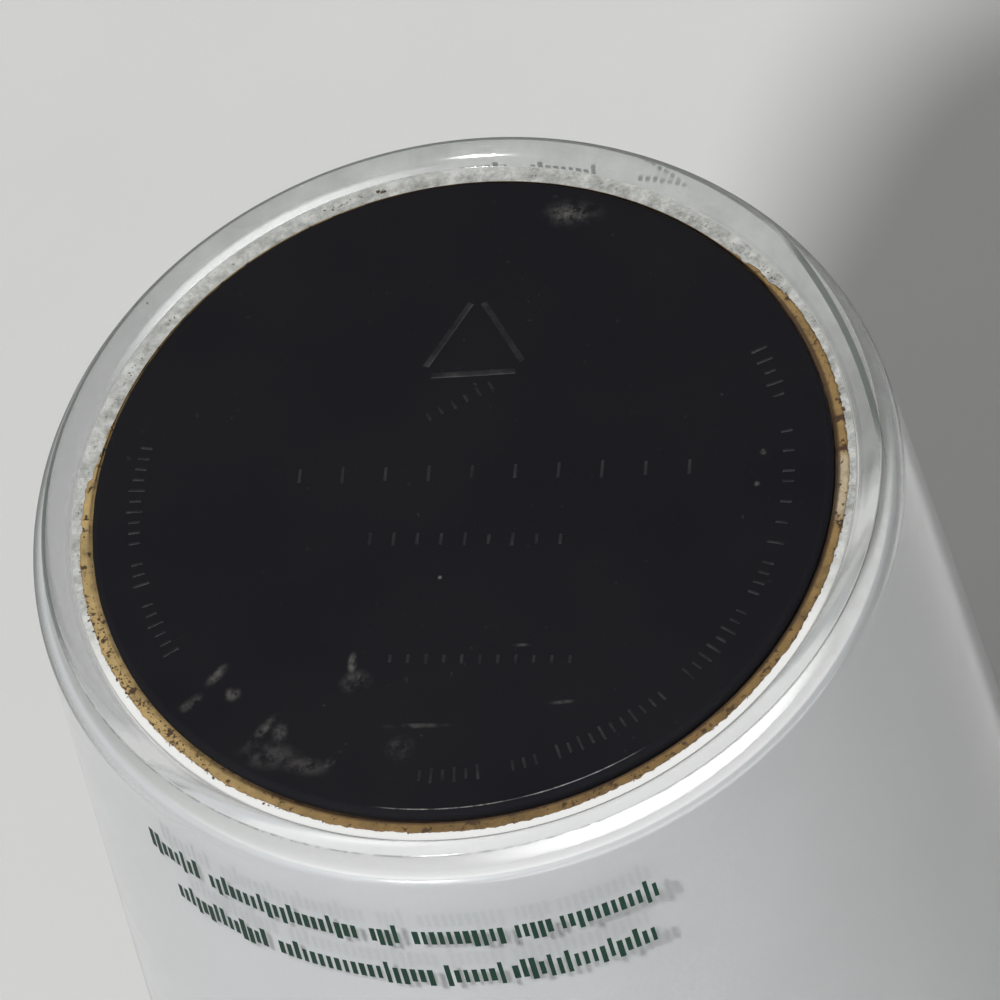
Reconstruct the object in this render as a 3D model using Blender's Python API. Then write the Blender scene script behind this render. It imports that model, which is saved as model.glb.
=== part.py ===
"""Double-walled plastic coffee tumbler, standing upside down on its mouth.

A clear tapered shell with a thick foot ring, a white liner that follows the shell's inside and
turns in under its ledge, a white inner cup whose lip closes the mouth, and a black base plug that
rests on the ring's shoulder, with a skirt that snaps under ledge and liner.

Metres, +Z up. The origin is the centre of the mouth's rim, on the surface that the cup stands on,
so a height is the distance from the mouth, and the foot is at the top.
"""

import math

import bmesh
import bpy
from mathutils import Matrix, Vector

# Overall size
HEIGHT = 0.155
MOUTH_RADIUS = 0.0447
FOOT_RADIUS = 0.0341

# Gap between two pieces that touch, and the number of facets round the axis
SEAT_GAP = 0.0003
FACETS = 72
ARC_STEPS = 4

# Clear outer shell
SHELL_WALL = 0.0020
FOOT_RING_HEIGHT = 0.0035
FOOT_CORNER_WIDTH = 0.00145
FOOT_CORNER_SAG = 0.0003
FOOT_LAND_WIDTH = 0.0005
FOOT_SLOPE_WIDTH = 0.0015
FOOT_SLOPE_SAG = 0.0002
GROOVE_WIDTH = 0.00145
GROOVE_DEPTH = 0.0012
LEDGE_THICKNESS = 0.0024
LEDGE_FILLET = 0.0010
PLUG_SHOULDER = 0.0010

# White liner behind the clear wall
LINER_WALL = 0.0008
LINER_FILLET = 0.0006

# White inner cup
AIR_GAP = 0.0018
CUP_WALL = 0.0016
CUP_BOTTOM_THICKNESS = 0.0020
CUP_BOTTOM_CLEARANCE = 0.0070
CUP_CORNER = 0.0060
LIP_HEIGHT = 0.0050
LIP_ROUND = 0.0010
LIP_WIDTH = 0.0040
LID_SEAT_DEPTH = 0.0090
LID_SEAT_DRAFT = 0.0003
SEAT_SLOPE_HEIGHT = 0.0030
COLLAR_LENGTH = 0.0060
COLLAR_SLOPE_HEIGHT = 0.0020

# Black base plug
PLUG_RECESS = 0.0005
PLUG_THICKNESS = 0.0016
PLUG_EDGE_WIDTH = 0.00055
PLUG_EDGE_DROP = 0.0005
SKIRT_WALL = 0.0016
SNAP_CATCH = 0.0005
SNAP_BEAD_HEIGHT = 0.0012
SKIRT_END = 0.0012
SKIRT_SLOTS = 6
SLOT_WIDTH = 0.0022
CUTTER_MARGIN = 0.0006
RIB_ARMS = 6
RIB_THICKNESS = 0.0012
RIB_HEIGHT = 0.0018


def outer_radius(height):
    """Radius of the shell's outside at a height, on a straight taper from mouth to foot ring."""
    share = height / (HEIGHT - FOOT_RING_HEIGHT)
    return MOUTH_RADIUS + (FOOT_RADIUS - MOUTH_RADIUS) * share


def shell_inside(height):
    return outer_radius(height) - SHELL_WALL


def liner_outside(height):
    return shell_inside(height) - SEAT_GAP


def liner_inside(height):
    return liner_outside(height) - LINER_WALL


def cup_outside(height):
    return liner_inside(height) - AIR_GAP


def cup_inside(height):
    return cup_outside(height) - CUP_WALL


def at(radius_of, height):
    """The profile point on one of the tapered surfaces at a height."""
    return (radius_of(height), height)


def arc(centre, radius, height, start, end, steps=ARC_STEPS):
    """Points of an elliptical arc in the (radius, height) plane, with both ends, in degrees."""
    points = []
    for step in range(steps + 1):
        angle = math.radians(start + (end - start) * step / steps)
        points.append((centre[0] + radius * math.cos(angle), centre[1] + height * math.sin(angle)))
    return points


def bow(start, end, sag, steps=ARC_STEPS):
    """Points of a round arc between two profile points, a sag off their chord on the right of the way."""
    start, end = Vector(start), Vector(end)
    chord = end - start
    middle = (start + end) / 2
    outward = Vector((chord.y, -chord.x)).normalized()
    radius = ((chord.length / 2) ** 2 + sag**2) / (2 * sag)
    half_angle = math.asin(chord.length / 2 / radius)
    centre = middle - outward * (radius - sag)
    points = []
    for step in range(steps + 1):
        angle = half_angle * (2 * step / steps - 1)
        points.append(centre + radius * (outward * math.cos(angle) + chord.normalized() * math.sin(angle)))
    return [tuple(point) for point in points]


# The foot ring, from outside to inside, and what fits in it
FOOT_TOP_OUTER = FOOT_RADIUS - FOOT_CORNER_WIDTH
FOOT_TOP_INNER = FOOT_TOP_OUTER - FOOT_LAND_WIDTH
GROOVE_OUTER = FOOT_TOP_INNER - FOOT_SLOPE_WIDTH
PLUG_BORE = GROOVE_OUTER - GROOVE_WIDTH
PLUG_RADIUS = PLUG_BORE - SEAT_GAP
PLUG_TOP = HEIGHT - PLUG_RECESS
PLUG_UNDERSIDE = PLUG_TOP - PLUG_THICKNESS
SHOULDER_TOP = PLUG_UNDERSIDE - SEAT_GAP
SKIRT_BORE = PLUG_BORE - PLUG_SHOULDER
SKIRT_RADIUS = SKIRT_BORE - SEAT_GAP
GROOVE_FLOOR = HEIGHT - GROOVE_DEPTH
LEDGE_UNDERSIDE = GROOVE_FLOOR - LEDGE_THICKNESS
SHELL_MOUTH = LIP_HEIGHT + SEAT_GAP
COLLAR_END = LIP_HEIGHT + COLLAR_LENGTH
LINER_START = COLLAR_END + SEAT_GAP
FLANGE_TOP = LEDGE_UNDERSIDE - SEAT_GAP
FLANGE_UNDERSIDE = FLANGE_TOP - LINER_WALL
LEDGE_FILLET_HEIGHT = LEDGE_UNDERSIDE - LEDGE_FILLET
LEDGE_FILLET_CENTRE = (shell_inside(LEDGE_FILLET_HEIGHT) - LEDGE_FILLET, LEDGE_FILLET_HEIGHT)
LID_SEAT_RADIUS = MOUTH_RADIUS - LIP_WIDTH
BEAD_TOP = FLANGE_UNDERSIDE - SEAT_GAP
SKIRT_BOTTOM = BEAD_TOP - SNAP_BEAD_HEIGHT - SKIRT_END
CUP_FLOOR_OUTSIDE = SKIRT_BOTTOM - CUP_BOTTOM_CLEARANCE
CUP_FLOOR_INSIDE = CUP_FLOOR_OUTSIDE - CUP_BOTTOM_THICKNESS


def material(name, colour, roughness, transmission=0.0):
    made = bpy.data.materials.new(name)
    made.use_nodes = True
    shader = made.node_tree.nodes["Principled BSDF"]
    shader.inputs["Base Color"].default_value = (*colour, 1.0)
    shader.inputs["Roughness"].default_value = roughness
    shader.inputs["Metallic"].default_value = 0.0
    shader.inputs["Transmission Weight"].default_value = transmission
    return made


def finish(name, mesh_data, finish_material):
    """Turns a bmesh into a named object with its faces out and its round faces shaded smooth."""
    bmesh.ops.remove_doubles(mesh_data, verts=mesh_data.verts, dist=1e-6)
    bmesh.ops.recalc_face_normals(mesh_data, faces=mesh_data.faces)
    mesh = bpy.data.meshes.new(name)
    mesh_data.to_mesh(mesh)
    mesh_data.free()
    mesh.shade_smooth()
    mesh.set_sharp_from_angle(angle=math.radians(30))
    made = bpy.data.objects.new(name, mesh)
    bpy.context.scene.collection.objects.link(made)
    if finish_material:
        mesh.materials.append(finish_material)
    return made


def turned(name, profile, finish_material, closed=True):
    """A solid of revolution. An open profile starts and ends on the axis."""
    work = bmesh.new()
    corners = [work.verts.new((radius, 0, height)) for radius, height in profile]
    for first, second in zip(corners, corners[1:]):
        work.edges.new((first, second))
    if closed:
        work.edges.new((corners[-1], corners[0]))
    bmesh.ops.spin(
        work,
        geom=list(work.verts) + list(work.edges),
        cent=(0, 0, 0),
        axis=(0, 0, 1),
        angle=math.tau,
        steps=FACETS,
        use_merge=True,
    )
    return finish(name, work, finish_material)


def ring_of_blocks(name, count, size, centre):
    """Plain blocks, evenly spaced round the cup's axis, in one object."""
    work = bmesh.new()
    block = Matrix.Translation(Vector(centre)) @ Matrix.Diagonal((*size, 1.0))
    for number in range(count):
        turn = Matrix.Rotation(math.tau * number / count, 4, "Z")
        bmesh.ops.create_cube(work, size=1.0, matrix=turn @ block)
    return finish(name, work, None)


def star(name, arms, length, width, bottom, top):
    """Upright ribs that cross on the cup's axis, the first one half a step round from +X."""
    work = bmesh.new()
    half = width / 2
    corner_radius = half / math.sin(math.pi / arms)
    outline = []
    for number in range(arms):
        turn = Matrix.Rotation(math.tau * (number + 0.5) / arms, 3, "Z")
        next_corner = Matrix.Rotation(math.tau * (number + 1) / arms, 3, "Z")
        outline.append(turn @ Vector((length, -half, bottom)))
        outline.append(turn @ Vector((length, half, bottom)))
        outline.append(next_corner @ Vector((corner_radius, 0, bottom)))
    base = work.faces.new([work.verts.new(point) for point in outline])
    raised = bmesh.ops.extrude_face_region(work, geom=[base])
    top_corners = [item for item in raised["geom"] if isinstance(item, bmesh.types.BMVert)]
    bmesh.ops.translate(work, verts=top_corners, vec=(0, 0, top - bottom))
    return finish(name, work, None)


def combine(target, other, operation):
    """Joins a helper to a piece, or cuts it away, and takes the helper out of the render."""
    other.hide_render = True
    other.display_type = "WIRE"
    step = target.modifiers.new(other.name, "BOOLEAN")
    step.object = other
    step.operation = operation


def make_outer_shell():
    """Tapered tube, open at the mouth, whose foot is a thick ring with a shoulder for the base plug.

    The ring stands on a narrow land. Outside it curves down into the wall, and inside it slopes down
    to the floor of the groove round the plug.
    """
    profile = [at(shell_inside, SHELL_MOUTH), at(outer_radius, SHELL_MOUTH)]
    wall_end = at(outer_radius, HEIGHT - FOOT_RING_HEIGHT)
    profile += bow(wall_end, (FOOT_TOP_OUTER, HEIGHT), FOOT_CORNER_SAG, ARC_STEPS + 2)
    profile += bow((FOOT_TOP_INNER, HEIGHT), (GROOVE_OUTER, GROOVE_FLOOR), FOOT_SLOPE_SAG)
    profile += [(PLUG_BORE, GROOVE_FLOOR), (PLUG_BORE, SHOULDER_TOP)]
    profile += [(SKIRT_BORE, SHOULDER_TOP), (SKIRT_BORE, LEDGE_UNDERSIDE)]
    profile += arc(LEDGE_FILLET_CENTRE, LEDGE_FILLET, LEDGE_FILLET, 90, 0)
    return turned("outer_shell", profile, material("clear plastic", (0.93, 0.95, 0.95), 0.08, 0.9))


def make_white_liner():
    """Thin tapered sleeve behind the clear wall, turned in at the foot to back the clear ledge."""
    outer_corner = LEDGE_FILLET - SEAT_GAP
    profile = [at(liner_inside, LINER_START), at(liner_outside, LINER_START)]
    profile += arc(LEDGE_FILLET_CENTRE, outer_corner, outer_corner, 0, 90)
    profile += [(SKIRT_BORE, FLANGE_TOP), (SKIRT_BORE, FLANGE_UNDERSIDE)]
    inner_height = FLANGE_UNDERSIDE - LINER_FILLET
    inner_centre = (liner_inside(inner_height) - LINER_FILLET, inner_height)
    profile += arc(inner_centre, LINER_FILLET, LINER_FILLET, 90, 0)
    return turned("white_liner", profile, material("white liner", (0.80, 0.81, 0.82), 0.5))


def make_inner_cup():
    """The cup that holds the drink: lip, collar inside the shell, seat for a lid, wall and floor."""
    lip_outer = MOUTH_RADIUS - LIP_ROUND
    lip_inner = LID_SEAT_RADIUS + LIP_ROUND
    profile = [(0, CUP_FLOOR_OUTSIDE)]
    corner_height = CUP_FLOOR_OUTSIDE - CUP_CORNER
    corner_centre = (cup_outside(corner_height) - CUP_CORNER, corner_height)
    profile += arc(corner_centre, CUP_CORNER, CUP_CORNER, 90, 0)
    slope_end = COLLAR_END + COLLAR_SLOPE_HEIGHT
    shoulder_inside = (liner_inside(COLLAR_END) - SEAT_GAP, COLLAR_END)
    profile += [at(cup_outside, slope_end), shoulder_inside, at(liner_outside, COLLAR_END)]
    profile += [at(liner_outside, LIP_HEIGHT), at(outer_radius, LIP_HEIGHT)]
    profile += arc((lip_outer, LIP_ROUND), LIP_ROUND, LIP_ROUND, 0, -90)
    profile += arc((lip_inner, LIP_ROUND), LIP_ROUND, LIP_ROUND, -90, -180)
    profile += [(LID_SEAT_RADIUS - LID_SEAT_DRAFT, LID_SEAT_DEPTH)]
    profile += [at(cup_inside, LID_SEAT_DEPTH + SEAT_SLOPE_HEIGHT)]
    inner_corner = CUP_CORNER - CUP_WALL
    inner_height = CUP_FLOOR_INSIDE - inner_corner
    inner_centre = (cup_inside(inner_height) - inner_corner, inner_height)
    profile += arc(inner_centre, inner_corner, inner_corner, 0, 90)
    profile += [(0, CUP_FLOOR_INSIDE)]
    return turned("inner_cup", profile, material("white plastic", (0.85, 0.85, 0.84), 0.35), closed=False)


def make_base_plug():
    """Black disc that rests on the shell's shoulder, with a slotted skirt that snaps under the flange."""
    skirt_inner = SKIRT_RADIUS - SKIRT_WALL
    bead_radius = SKIRT_BORE + SNAP_CATCH
    bead_bottom = BEAD_TOP - SNAP_BEAD_HEIGHT
    profile = [(0, PLUG_TOP)]
    edge_centre = (PLUG_RADIUS - PLUG_EDGE_WIDTH, PLUG_TOP - PLUG_EDGE_DROP)
    profile += arc(edge_centre, PLUG_EDGE_WIDTH, PLUG_EDGE_DROP, 90, 0)
    profile += [(PLUG_RADIUS, PLUG_UNDERSIDE), (SKIRT_RADIUS, PLUG_UNDERSIDE)]
    profile += [(SKIRT_RADIUS, BEAD_TOP), (bead_radius, BEAD_TOP), (bead_radius, (BEAD_TOP + bead_bottom) / 2)]
    profile += [(SKIRT_RADIUS, bead_bottom), (SKIRT_RADIUS, SKIRT_BOTTOM), (skirt_inner, SKIRT_BOTTOM)]
    profile += [(skirt_inner, PLUG_UNDERSIDE), (0, PLUG_UNDERSIDE)]
    plug = turned("base_plug", profile, material("black plastic", (0.012, 0.012, 0.014), 0.5), closed=False)

    slot_top = SHOULDER_TOP
    slot_bottom = SKIRT_BOTTOM - CUTTER_MARGIN
    slot_size = (bead_radius - skirt_inner + 2 * CUTTER_MARGIN, SLOT_WIDTH, slot_top - slot_bottom)
    slot_centre = ((skirt_inner + bead_radius) / 2, 0, (slot_top + slot_bottom) / 2)
    combine(plug, ring_of_blocks("slot_cutter", SKIRT_SLOTS, slot_size, slot_centre), "DIFFERENCE")

    rib_reach = skirt_inner + SKIRT_WALL / 2
    rib_root = PLUG_UNDERSIDE + PLUG_THICKNESS / 2
    rib_edge = PLUG_UNDERSIDE - RIB_HEIGHT
    combine(plug, star("ribs", RIB_ARMS, rib_reach, RIB_THICKNESS, rib_edge, rib_root), "UNION")
    return plug


def clear_scene():
    for existing in list(bpy.data.objects):
        bpy.data.objects.remove(existing)


clear_scene()
make_outer_shell()
make_white_liner()
make_inner_cup()
make_base_plug()
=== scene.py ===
"""Looks for the used double-walled coffee cup, upside down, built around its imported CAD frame.

The turned pieces are spun again from their CAD sections with more steps and small corner rounds. On
them lie the dried coffee round the base plug, its specks, a pale dried film, the print and the plug's
low moulded marks.

Sizes here are in millimetres, heights from the mouth that the cup stands on, and azimuths in degrees
from +X towards +Y, so -90 is the side nearest the camera.
"""

import math
import random

import bmesh
import bpy
from mathutils import Matrix, Vector, noise


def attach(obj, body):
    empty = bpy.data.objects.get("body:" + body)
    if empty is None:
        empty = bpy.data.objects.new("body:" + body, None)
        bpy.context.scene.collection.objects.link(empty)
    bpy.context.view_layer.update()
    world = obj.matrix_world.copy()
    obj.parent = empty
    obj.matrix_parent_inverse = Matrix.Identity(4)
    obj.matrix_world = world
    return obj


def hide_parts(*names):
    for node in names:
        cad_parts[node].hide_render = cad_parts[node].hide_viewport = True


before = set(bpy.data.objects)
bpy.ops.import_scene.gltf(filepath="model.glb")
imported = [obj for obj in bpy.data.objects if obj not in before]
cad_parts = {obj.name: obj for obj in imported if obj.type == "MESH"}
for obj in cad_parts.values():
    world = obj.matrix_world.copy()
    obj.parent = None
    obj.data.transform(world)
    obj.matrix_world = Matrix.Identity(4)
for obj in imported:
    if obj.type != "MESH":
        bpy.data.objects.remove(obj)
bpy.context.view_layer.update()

MM = 0.001
TURN_STEPS = 288
WELD = 1e-6

# Camera: angles in degrees, the lens and sensor in millimetres, and the near clip in metres
FOOT_HEIGHT = 155.0
AIM_BELOW_FOOT = 0.45
CAMERA_DISTANCE = 514.0
CAMERA_ELEVATION = 55.42
CAMERA_YAW = 0.30
CAMERA_PITCH = -0.21
CAMERA_ROLL = -18.20
CAMERA_LENS = 241.4
SENSOR = 36.0
CLIP_START = 0.01

# Base plug, groove, wall and the top of the liner's flange, as the CAD has them
PLUG_RADIUS = 28.9
PLUG_TOP = 154.5
BORE_RADIUS = 29.2
GROOVE_FLOOR = 153.8
GROOVE_OUTER = 30.65
WALL_TOP = 151.5
WALL_TOP_RADIUS = 34.1
MOUTH_RADIUS = 44.7
WALL_TAPER = (MOUTH_RADIUS - WALL_TOP_RADIUS) / WALL_TOP
FLANGE_TOP = 151.1

# The key light's direction and width in degrees, and its strength
KEY_AZIMUTH = -122.7
KEY_ELEVATION = 47.2
KEY_WIDTH = 7.0
KEY_STRENGTH = 2.75

# The bright patch that gloss shows: direction and half sizes in degrees, and its strength
WINDOW_AZIMUTH = -66.0
WINDOW_ELEVATION = 12.0
WINDOW_HALF_WIDTH = 46.0
WINDOW_HALF_HEIGHT = 26.0
WINDOW_LIGHT = 14.0

# Fine lines in the materials: least and greatest radius, or radius and bow for the sliver
CONTACT_LINE = (32.66, 32.73)
FAR_LINE = (32.44, 32.70)
PLUG_EDGE_LINE = (28.37, 28.41)
SLIVER_BAND = (45.95, 46.50)
SLIVER_AZIMUTH = 4.0
SLIVER_BOW = 0.4427

# Colours, linear
LINER_WHITE = (0.502, 0.513, 0.529)
FLANGE_PAINTED_SHADE = (0.39, 0.405, 0.395)
FLANGE_PAINTED_LIGHT = (0.86, 0.86, 0.865)
CUP_WHITE = (0.72, 0.72, 0.70)
PLUG_BLACK = (0.0072, 0.0070, 0.0094)
INK_GREEN = (0.003, 0.022, 0.013)
CLEAR_TINT = (0.966, 0.975, 0.968)
SEEN_THROUGH = (0.96, 0.96, 0.96)
SCUFF_AND_PAINTED_LIGHT = (0.60, 0.62, 0.59)
FLOOR_GREY = (0.638, 0.638, 0.630)
PAINTED_EDGE_SHADE = (0.10, 0.112, 0.106)
GRIME = (0.025, 0.024, 0.020)
PLUG_FADED = (0.0100, 0.0098, 0.0115)
PLUG_SMUDGE = (0.13, 0.125, 0.115)
PLUG_DUST = (0.06, 0.058, 0.055)
PLUG_WORN_HIGHLIGHT = (0.30, 0.29, 0.28)
MARK_DARK = (0.004, 0.004, 0.005)
MARK_DUSTY = (0.030, 0.029, 0.030)
FILM_THIN = (0.34, 0.34, 0.31)
FILM_THICK = (0.66, 0.67, 0.64)
FILM_PAINTED_LIGHT = (0.93, 0.93, 0.91)
FILM_COVER = (0.85, 0.85, 0.85)
SPECK_DARK = (0.020, 0.010, 0.005)
SPECK_BROWN = (0.10, 0.055, 0.025)
COFFEE_PEPPER = (0.05, 0.026, 0.010)
COFFEE_TAN = (0.29, 0.185, 0.066)
COFFEE_LEFT = (0.44, 0.31, 0.13)
COFFEE_PAINTED_SHADE = (0.20, 0.122, 0.042)
COFFEE_PALE = (0.50, 0.41, 0.27)
COFFEE_INNER_LINE_AND_SHADE = (0.045, 0.022, 0.009)
COFFEE_OUTER_LINE = (0.10, 0.052, 0.020)
COFFEE_CRACK = (0.05, 0.022, 0.010)


def polar(radius, azimuth, height):
    """The point at a radius, azimuth and height, in metres."""
    angle = math.radians(azimuth)
    return Vector((radius * math.cos(angle), radius * math.sin(angle), height)) * MM


def wall_radius(height):
    """Radius of the shell's tapered outside at a height."""
    return WALL_TOP_RADIUS + (WALL_TOP - height) * WALL_TAPER


def smoothstep(start, end, value):
    """From zero to one as a value goes from a start to an end, which may be the smaller of the two."""
    share = min(max((value - start) / (end - start), 0.0), 1.0)
    return share * share * (3 - 2 * share)


# Meshes


def finish_mesh(name, work, sharp_angle=30):
    """A mesh from its working copy, welded, facing outwards and smooth up to an angle in degrees."""
    bmesh.ops.remove_doubles(work, verts=work.verts, dist=WELD)
    bmesh.ops.recalc_face_normals(work, faces=work.faces)
    mesh = bpy.data.meshes.new(name)
    work.to_mesh(mesh)
    work.free()
    mesh.shade_smooth()
    mesh.set_sharp_from_angle(angle=math.radians(sharp_angle))
    return mesh


def add_piece(name, mesh, material, slot, *replaced):
    """A piece of the visual model, in its place, with its finish, and riding on the cup's one body."""
    piece = bpy.data.objects.new(name, mesh)
    bpy.context.scene.collection.objects.link(piece)
    mesh.materials.clear()
    mesh.materials.append(material)
    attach(piece, "root")
    if replaced:
        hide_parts(*replaced)
    return piece


def section_of(node):
    """Outline of a turned CAD node on the +X side, as (radius, height) pairs in metres, in order."""
    work = bmesh.new()
    work.from_mesh(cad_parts[node].data)
    bmesh.ops.remove_doubles(work, verts=work.verts, dist=WELD)
    cut = {corner for corner in work.verts if abs(corner.co.y) < WELD and corner.co.x > -WELD}
    links = {corner: [edge.other_vert(corner) for edge in corner.link_edges] for corner in cut}
    links = {corner: [other for other in others if other in cut] for corner, others in links.items()}
    ends = [corner for corner in cut if len(links[corner]) == 1]
    walk = [min(ends or cut, key=lambda corner: (corner.co.z, corner.co.x))]
    while True:
        onward = [other for other in links[walk[-1]] if other not in walk]
        if not onward:
            break
        walk.append(min(onward, key=lambda other: (other.co.z, other.co.x)))
    outline = [(corner.co.x, corner.co.z) for corner in walk]
    work.free()
    return outline, not ends


def rounded(outline, closed, radius, steps=3, least_turn=25):
    """The outline with its sharp corners rounded. The fine steps of its own arcs stay as they are."""
    points = [Vector(point) for point in outline]
    count = len(points)
    result = []
    for index, corner in enumerate(points):
        if not closed and index in (0, count - 1):
            result.append(corner)
            continue
        back = points[index - 1] - corner
        ahead = points[(index + 1) % count] - corner
        turn = math.pi - back.angle(ahead)
        if turn < math.radians(least_turn):
            result.append(corner)
            continue
        reach = min(radius * math.tan(turn / 2), back.length * 0.45, ahead.length * 0.45)
        first = corner + back.normalized() * reach
        last = corner + ahead.normalized() * reach
        for step in range(steps + 1):
            share = step / steps
            result.append(first * (1 - share) ** 2 + corner * 2 * share * (1 - share) + last * share**2)
    return result


def turned(name, outline, closed, steps=TURN_STEPS):
    """A smooth solid of revolution from an outline in metres."""
    work = bmesh.new()
    corners = [work.verts.new((radius, 0, height)) for radius, height in outline]
    for first, second in zip(corners, corners[1:]):
        work.edges.new((first, second))
    if closed:
        work.edges.new((corners[-1], corners[0]))
    bmesh.ops.spin(
        work,
        geom=list(work.verts) + list(work.edges),
        cent=(0, 0, 0),
        axis=(0, 0, 1),
        angle=math.tau,
        steps=steps,
        use_merge=True,
    )
    return finish_mesh(name, work)


def respun(name, node, corner_radius):
    """The mesh of a turned CAD node with more steps round the axis and with its corners rounded."""
    outline, closed = section_of(node)
    return turned(name, rounded(outline, closed, corner_radius * MM), closed)


def welded_copy(name, node):
    """A copy of a CAD node's mesh with its facets shaded smooth."""
    work = bmesh.new()
    work.from_mesh(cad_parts[node].data)
    return finish_mesh(name, work)


# Materials


def new_material(name):
    """An empty node material, with its nodes and links."""
    made = bpy.data.materials.new(name)
    made.use_nodes = True
    made.node_tree.nodes.clear()
    return made, made.node_tree.nodes, made.node_tree.links


def add(nodes, kind, **settings):
    """A shader node. A setting whose name has a leading capital is an input's value."""
    node = nodes.new("ShaderNode" + kind)
    for name, value in settings.items():
        if name[0].isupper():
            node.inputs[name.replace("_", " ")].default_value = value
        else:
            setattr(node, name, value)
    return node


def colour(values):
    """A colour with full alpha."""
    return (*values, 1.0)


def ramp(nodes, links, source, stops):
    """A colour ramp on a value. A stop is a place and a colour or a grey."""
    made = add(nodes, "ValToRGB")
    while len(made.color_ramp.elements) < len(stops):
        made.color_ramp.elements.new(0.5)
    for element, (place, value) in zip(made.color_ramp.elements, stops):
        element.position = place
        element.color = colour(value if isinstance(value, tuple) else (value,) * 3)
    links.new(source, made.inputs["Fac"])
    return made.outputs["Color"]


def noise_of(nodes, links, scale, detail=4.0, roughness=0.55):
    """Noise in the object's own space, so many to the metre."""
    place = add(nodes, "TexCoord")
    pattern = add(nodes, "TexNoise", Scale=scale, Detail=detail, Roughness=roughness)
    links.new(place.outputs["Object"], pattern.inputs["Vector"])
    return pattern.outputs["Fac"]


def math_node(nodes, links, operation, first, second):
    """A maths node on two outputs, or on an output and a number."""
    made = add(nodes, "Math", operation=operation)
    for socket, value in zip(made.inputs, (first, second)):
        if isinstance(value, (int, float)):
            socket.default_value = value
        else:
            links.new(value, socket)
    return made.outputs["Value"]


def times(nodes, links, first, second):
    """The product of two values."""
    return math_node(nodes, links, "MULTIPLY", first, second)


def larger(nodes, links, first, second):
    """The larger of two values."""
    return math_node(nodes, links, "MAXIMUM", first, second)


def map_range(nodes, links, value, start, end, low=0.0, high=1.0):
    """A value brought smoothly from one range to another."""
    made = add(nodes, "MapRange", interpolation_type="SMOOTHSTEP")
    for name, number in (("From Min", start), ("From Max", end), ("To Min", low), ("To Max", high)):
        made.inputs[name].default_value = number
    links.new(value, made.inputs["Value"])
    return made.outputs["Result"]


def along(nodes, links, vector, direction):
    """How far a vector goes along a direction."""
    made = add(nodes, "VectorMath", operation="DOT_PRODUCT")
    made.inputs[1].default_value = direction
    links.new(vector, made.inputs[0])
    return made.outputs["Value"]


def glow(nodes, links, direction, azimuth, elevation, half_width, half_height):
    """A soft-edged patch of the world round an azimuth and elevation, in degrees."""
    angle = math.radians(azimuth)
    across = along(nodes, links, direction, (-math.sin(angle), math.cos(angle), 0))
    ahead = along(nodes, links, direction, (math.cos(angle), math.sin(angle), 0))
    upward = along(nodes, links, direction, (0, 0, 1))
    upward = math_node(nodes, links, "SUBTRACT", upward, math.sin(math.radians(elevation)))
    across = times(nodes, links, across, 1 / math.sin(math.radians(half_width)))
    upward = times(nodes, links, upward, 1 / math.sin(math.radians(half_height)))
    across = times(nodes, links, across, across)
    upward = times(nodes, links, upward, upward)
    away = math_node(nodes, links, "ADD", across, upward)
    patch = map_range(nodes, links, away, 1.2, 0.1)
    return times(nodes, links, patch, map_range(nodes, links, ahead, 0.0, 0.2))


def show(nodes, links, shader):
    """Makes a shader's output the surface of its material."""
    surface = add(nodes, "OutputMaterial")
    links.new(shader, surface.inputs["Surface"])


def bump(nodes, links, height, strength, distance):
    """A bumped normal from a height. The distance is in metres."""
    made = add(nodes, "Bump", Strength=strength, Distance=distance)
    links.new(height, made.inputs["Height"])
    return made.outputs["Normal"]


def from_axis(nodes, links):
    """Distance from the cup's axis, the place flattened onto the floor, and the height."""
    place = add(nodes, "TexCoord")
    flat = add(nodes, "VectorMath", operation="MULTIPLY")
    flat.inputs[1].default_value = (1, 1, 0)
    links.new(place.outputs["Object"], flat.inputs[0])
    radius = add(nodes, "VectorMath", operation="LENGTH")
    links.new(flat.outputs["Vector"], radius.inputs[0])
    split = add(nodes, "SeparateXYZ")
    links.new(place.outputs["Object"], split.inputs["Vector"])
    return radius.outputs["Value"], flat.outputs["Vector"], split.outputs["Z"]


def band(nodes, links, value, start, end, soft):
    """One between two distances, with soft edges outside them."""
    inside = map_range(nodes, links, value, (start - soft) * MM, start * MM)
    outside = map_range(nodes, links, value, (end + soft) * MM, end * MM)
    return times(nodes, links, inside, outside)


def toward(nodes, links, flat, azimuth, start, end):
    """From zero to one between two distances towards an azimuth."""
    angle = math.radians(azimuth)
    ahead = along(nodes, links, flat, (math.cos(angle), math.sin(angle), 0))
    return map_range(nodes, links, ahead, start * MM, end * MM)


def mixed(nodes, links, factor, first, second):
    """A mix of two colours by an output. Each is an output or a colour."""
    made = add(nodes, "Mix", data_type="RGBA")
    links.new(factor, made.inputs["Factor"])
    for name, value in (("A", first), ("B", second)):
        if isinstance(value, tuple):
            made.inputs[name].default_value = colour(value)
        else:
            links.new(value, made.inputs[name])
    return made.outputs["Result"]


def layered(nodes, links, factor, first, second):
    """A mix of two shaders' outputs by an output."""
    made = add(nodes, "MixShader")
    links.new(factor, made.inputs["Fac"])
    links.new(first, made.inputs[1])
    links.new(second, made.inputs[2])
    return made.outputs["Shader"]


def rising(nodes, links, height, start, end, most=1.0):
    """From zero to the most between two heights."""
    return map_range(nodes, links, height, start * MM, end * MM, 0.0, most)


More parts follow.
